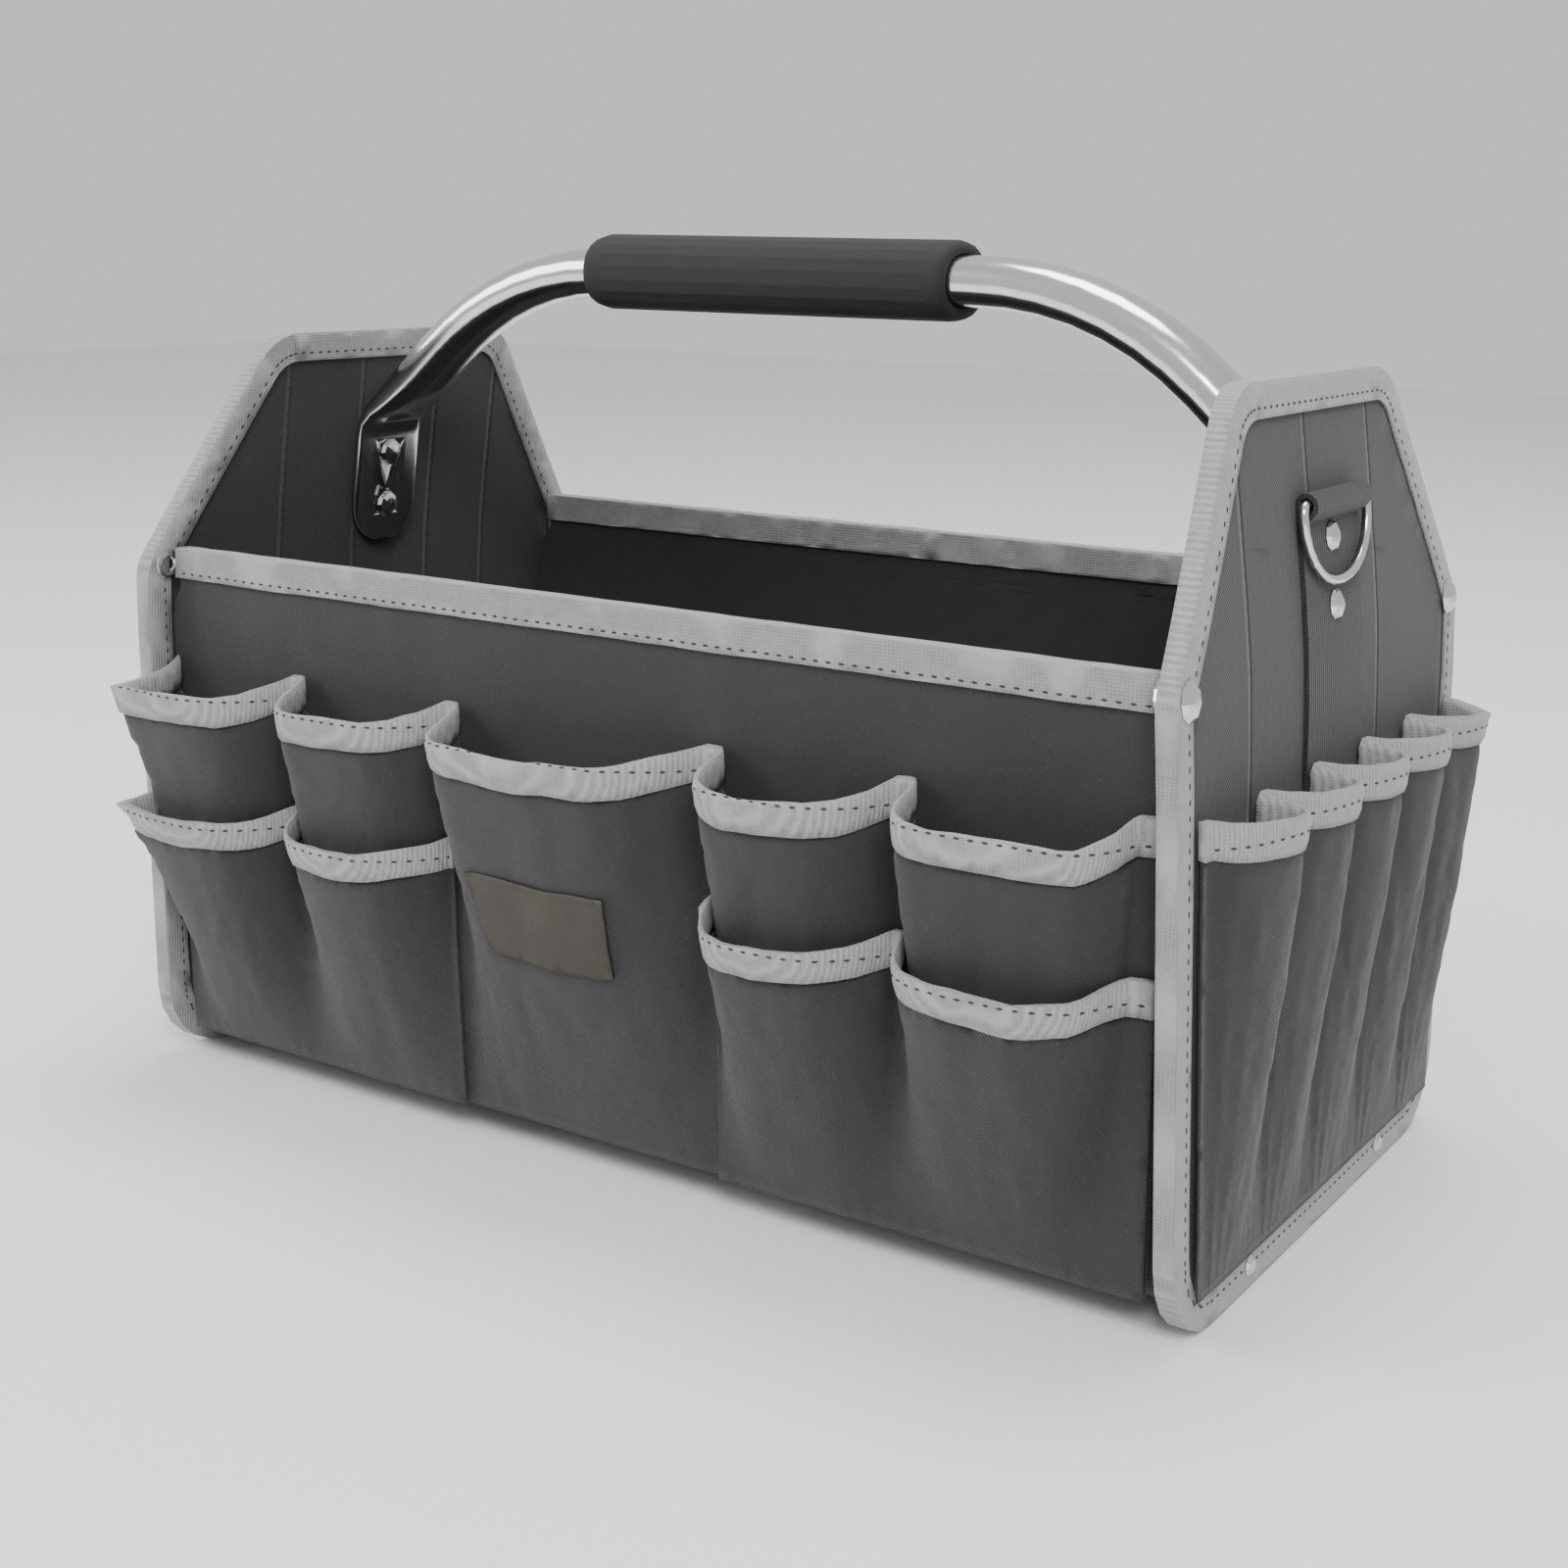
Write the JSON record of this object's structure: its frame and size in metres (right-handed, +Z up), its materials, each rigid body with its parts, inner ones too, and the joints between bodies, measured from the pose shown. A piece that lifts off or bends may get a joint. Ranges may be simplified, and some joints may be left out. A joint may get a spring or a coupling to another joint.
{
  "type": "garden tool bag",
  "caption": "Open-top fabric tote with stiff ends, pockets on every side, a riveted steel tube handle with a foam grip, and a swinging D-ring on each end.",
  "frame": {"origin": "centre of the footprint, on the floor", "axes": "+X along the bag's length, +Y towards its back wall, +Z up"},
  "size_m": [0.45, 0.2804, 0.3117],
  "materials": {
    "fabric": "black woven twill",
    "lining": "black plain weave",
    "board": "matte",
    "tape": "grey woven binding tape",
    "webbing": "black webbing",
    "steel": "polished",
    "foam": "matte foam",
    "patch": "matte, blank"
  },
  "bodies": {
    "bag": {"back_board": "board", "base_board": "board", "base_rivet_left_back": "steel", "base_rivet_left_front": "steel", "base_rivet_right_back": "steel", "base_rivet_right_front": "steel", "corner_rivet_left_back": "steel", "corner_rivet_left_front": "steel", "corner_rivet_right_back": "steel", "corner_rivet_right_front": "steel", "end_binding_left": "tape", "end_binding_right": "tape", "end_board_left": "board", "end_board_right": "board", "end_lining_left": "lining", "end_lining_right": "lining", "end_outer_left": "fabric", "end_outer_right": "fabric", "end_pocket_binding_left": "tape", "end_pocket_binding_right": "tape", "end_pockets_left": "fabric", "end_pockets_right": "fabric", "foam_grip": "foam", "front_board": "board", "handle_rivet_left_lower": "steel", "handle_rivet_left_upper": "steel", "handle_rivet_right_lower": "steel", "handle_rivet_right_upper": "steel", "handle_tube": "steel", "lining_wrap": "lining", "lower_binding_back_left": "tape", "lower_binding_back_right": "tape", "lower_binding_front_left": "tape", "lower_binding_front_right": "tape", "lower_pockets_back_left": "fabric", "lower_pockets_back_right": "fabric", "lower_pockets_front_left": "fabric", "lower_pockets_front_right": "fabric", "name_patch": "patch", "outer_wrap": "fabric", "pocket_binding_back": "tape", "pocket_binding_front": "tape", "pockets_back": "fabric", "pockets_front": "fabric", "strap_left": "webbing", "strap_right": "webbing", "top_binding_back": "tape", "top_binding_front": "tape"},
    "ring_left": {"d_ring_left": "steel"},
    "ring_right": {"d_ring_right": "steel"}
  },
  "joints": [
    {"name": "ring_left_swing", "type": "hinge", "parent": "bag", "child": "ring_left", "pos_m": [-0.20091, 0, 0.237], "axis": [0, 1, 0], "range_deg": [0, 150]},
    {"name": "ring_right_swing", "type": "hinge", "parent": "bag", "child": "ring_right", "pos_m": [0.20091, 0, 0.237], "axis": [0, -1, 0], "range_deg": [0, 150]}
  ]
}
